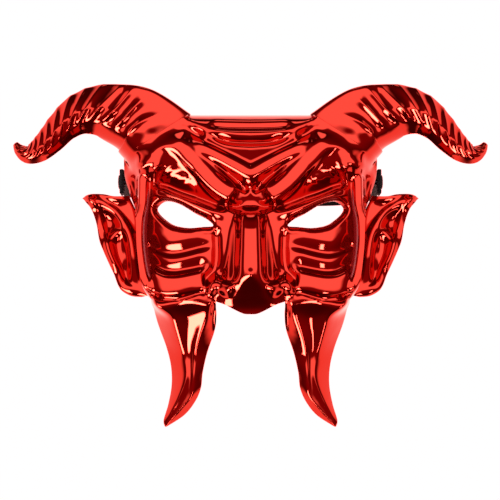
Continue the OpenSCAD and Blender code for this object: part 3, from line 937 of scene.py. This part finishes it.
def make_fastenings(own, mirrored):
    on_axis = (0, rivet_y, rivet_z)
    for node, profile in (("rivet_", rivet_profile), ("rivet_cap_", cap_profile)):
        piece = make_turned(
            node + own + "_turned", profile, on_axis, (1, 0, 0), rivet_steel, mirrored,
        )
        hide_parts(node + own)
    out = (joint_out[0], 0, joint_out[1])
    for way, place in ((-1, "inner"), (1, "outer")):
        x, z = joint_middle + joint_way * peg_apart * way
        peg = make_turned(
            f"horn_peg_{own}_{place}", peg_profile, (x, rim_y, z), out, peg_red, mirrored,
        )
        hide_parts("horn_pegs_" + own)


make_fastenings("right", False)
make_fastenings("left", True)


# ---------- strap ----------

strap_half = 7.4
arm_length = 22
fold_length = 16
fold_at = -5.5
droop = math.radians(3)
strap_uneven = 2.4
rib_pitch = 1.15


def strap_way():
    """The strap seen from above, from one folded end round the head to the other."""
    inner = strap_inside + elastic_thickness / 2
    bend = elastic_thickness / 2
    outside = [(inner + elastic_thickness, y) for y in np.linspace(fold_length, fold_at, 24)]
    turn = [
        (inner + bend + bend * math.cos(a), fold_at - bend * math.sin(a))
        for a in np.linspace(0.3, math.pi - 0.3, 7)
    ]
    arm = [(inner, y) for y in np.linspace(fold_at, arm_length, 28)]
    round_head = [
        (inner * math.cos(a), arm_length + inner * math.sin(a))
        for a in np.linspace(0.03, math.pi / 2, 60)
    ]
    right = np.array(outside + turn + arm + round_head)
    return np.concatenate([right, right[-2::-1] * [-1, 1]])


def strap_section():
    """The band's cross-section: lengthwise cords on both faces, rounded edges."""
    across = np.linspace(-1, 1, 81)
    cords = 0.07 * np.cos(2 * math.pi * across * strap_half / rib_pitch)
    half = (elastic_thickness / 2 - 0.09 + cords) * (1 - np.abs(across) ** 24) ** 0.5
    face = np.stack([half, across * strap_half], -1)
    return np.concatenate([face, face[-2:0:-1] * [-1, 1]])


def hung(points):
    """From the strap's own drawing about the rivets to its place, a little lower on the right."""
    x, y, z = points.T
    across = (x + strap_inside) / (2 * strap_inside)
    z = z + lerp(strap_uneven, -strap_uneven, across) * smooth((y - 12) / 70)
    return np.stack([
        x,
        rivet_y + y * math.cos(droop) + z * math.sin(droop),
        rivet_z - y * math.sin(droop) + z * math.cos(droop),
    ], -1)


def make_strap():
    way = strap_way()
    tangent = unit(np.gradient(way, axis=0))
    side = np.stack([tangent[:, 1], -tangent[:, 0]], -1)
    section = strap_section()
    rings = np.concatenate([
        way[:, None] + side[:, None] * section[None, :, :1],
        np.broadcast_to(section[None, :, 1:], (len(way), len(section), 1)),
    ], -1)
    faces = rod_faces(len(way), len(section))
    band = add("strap_band", hung(rings.reshape(-1, 3)), faces, [black_elastic], "strap", sharp=75)
    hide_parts("strap")


def tube(path, radius, sides=8):
    """A round thread along a path."""
    path = np.array(path, float)
    tangent = unit(np.gradient(path, axis=0))
    aside = unit(np.cross(tangent, [1, 0, 0]))
    third = np.cross(tangent, aside)
    angle = np.linspace(0, 2 * math.pi, sides, endpoint=False)
    around = aside[:, None] * np.cos(angle)[:, None] + third[:, None] * np.sin(angle)[:, None]
    rings = path[:, None] + radius * around
    return rings.reshape(-1, 3), rod_faces(len(path), sides)


stitch_rows = 3
stitch_points = 90
stitch_pitch = 0.8
thread_radius = 0.16


def make_stitching(own, mirrored):
    """Three rows of zigzag thread across the folded end."""
    height = np.linspace(-strap_half + 0.9, strap_half - 0.9, stitch_points)
    zigzag = 0.5 * np.abs((height / stitch_pitch) % 2 - 1)
    out = np.full(stitch_points, strap_outside + 0.06)
    for row in range(stitch_rows):
        path = np.stack([out, fold_length - 2.4 - 1.7 * row + zigzag, height], -1)
        points, faces = tube(path, thread_radius)
        name = f"stitches_{own}_{row}"
        thread_row = add(name, hung(points), faces, [black_thread], "strap", mirrored)
        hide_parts("strap_stitching_" + own)


make_strap()
make_stitching("right", False)
make_stitching("left", True)


# ---------- studio ----------

# Panels of light by direction from the mask: azimuth from the front, positive to the right,
# elevation, half width, half height and softness in degrees, then brightness.
# White panels, before and above
panels = [
    (0, 8, 50, 22, 12, 2.0),
    (0, 90, 180, 10, 8, 2.0),
]
# White panels below the mask, which only its first reflections show
low_panels = [
    (-45, -48, 23, 14, 4, 22),
    (26, -47, 4, 10, 3, 18),
]
first_reflection = 2.5
# A pink panel behind the mask, its azimuth from the back; a red glow before it; dark red all round
behind = (0, -10, 90, 62, 14, 1.7)
behind_tint = (1.0, 0.55, 0.5)
glow = (0, 0, 75, 50, 60, 0.3)
dark = 0.08
glow_tint = (1.0, 0.04, 0.08)


def math_node(tree, kind, a, b=None):
    node = tree.nodes.new("ShaderNodeMath")
    node.operation = kind
    for socket, value in zip(node.inputs, (a, b)):
        if value is None:
            continue
        if isinstance(value, (int, float)):
            socket.default_value = value
        else:
            tree.links.new(value, socket)
    return node.outputs[0]


def window(tree, angle, centre, half, soft):
    """One inside a range of angles, fading to nothing outside it."""
    off = math_node(tree, "ABSOLUTE", math_node(tree, "SUBTRACT", angle, math.radians(centre)))
    node = tree.nodes.new("ShaderNodeMapRange")
    node.interpolation_type = "SMOOTHSTEP"
    node.inputs["From Min"].default_value = math.radians(half + soft / 2)
    node.inputs["From Max"].default_value = math.radians(half - soft / 2)
    tree.links.new(off, node.inputs["Value"])
    return node.outputs["Result"]


def panel(tree, azimuth, elevation, place):
    az, el, half_az, half_el, soft, power = place
    across = window(tree, azimuth, az, half_az, soft)
    up = window(tree, elevation, el, half_el, soft)
    spot = math_node(tree, "MULTIPLY", across, up)
    return math_node(tree, "MULTIPLY", spot, float(power))


def light_studio():
    world = bpy.data.worlds.new("studio")
    bpy.context.scene.world = world
    world.use_nodes = True
    tree = world.node_tree
    way = tree.nodes.new("ShaderNodeTexCoord").outputs["Generated"]
    split = tree.nodes.new("ShaderNodeSeparateXYZ")
    tree.links.new(way, split.inputs[0])
    x, y, z = split.outputs
    azimuth = math_node(tree, "ARCTAN2", x, math_node(tree, "MULTIPLY", y, -1.0))
    from_back = math_node(tree, "ARCTAN2", x, y)
    elevation = math_node(tree, "ARCSINE", z)
    pink = panel(tree, from_back, elevation, behind)
    white = 0.0
    for spot in panels:
        white = math_node(tree, "ADD", white, panel(tree, azimuth, elevation, spot))
    light_path = tree.nodes.new("ShaderNodeLightPath")
    first = math_node(tree, "LESS_THAN", light_path.outputs["Ray Depth"], first_reflection)
    for spot in low_panels:
        low = math_node(tree, "MULTIPLY", first, panel(tree, azimuth, elevation, spot))
        white = math_node(tree, "ADD", white, low)
    red = math_node(tree, "ADD", panel(tree, azimuth, elevation, glow), dark)
    seen = light_path.outputs["Is Camera Ray"]
    colour = tree.nodes.new("ShaderNodeCombineColor")
    for socket, near_tint, far_tint in zip(colour.inputs, glow_tint, behind_tint):
        channel = math_node(tree, "ADD", white, math_node(tree, "MULTIPLY", red, near_tint))
        channel = math_node(tree, "ADD", channel, math_node(tree, "MULTIPLY", pink, far_tint))
        tree.links.new(math_node(tree, "MAXIMUM", channel, seen), socket)
    tree.links.new(colour.outputs["Color"], tree.nodes["Background"].inputs["Color"])


light_studio()


floor_sides = 64
floor_radius = 0.5
floor_middle_y = 0.03
floor_z = -0.35


def make_floor():
    mesh = bpy.data.meshes.new("floor")
    ring = [
        (floor_radius * math.cos(a), floor_radius * math.sin(a) + floor_middle_y, floor_z)
        for a in np.linspace(0, 2 * math.pi, floor_sides, endpoint=False)
    ]
    mesh.from_pydata(ring, [], [list(range(floor_sides))])
    material = bpy.data.materials.new("floor")
    tree, surface = nodes_of(material)
    surface.inputs["Base Color"].default_value = (0.5, 0.5, 0.5, 1)
    surface.inputs["Roughness"].default_value = 0.8
    surface.inputs["Emission Color"].default_value = (1, 0.97, 0.95, 1)
    surface.inputs["Emission Strength"].default_value = 0.6
    mesh.materials.append(material)
    floor = bpy.data.objects.new("floor", mesh)
    bpy.context.scene.collection.objects.link(floor)
    floor.visible_glossy = False


make_floor()


# ---------- camera ----------

camera_distance = 1.6
view_width = 0.3
sensor_width = 36
camera = bpy.data.cameras.new("camera")
camera_object = bpy.data.objects.new("camera", camera)
bpy.context.scene.collection.objects.link(camera_object)
camera.sensor_width = sensor_width
camera.lens = sensor_width * camera_distance / view_width
camera_object.location = (-0.0003, -camera_distance, -0.0204)
camera_object.rotation_euler = (math.pi / 2, 0, 0)
bpy.context.scene.camera = camera_object
bpy.context.scene.view_settings.view_transform = "Standard"
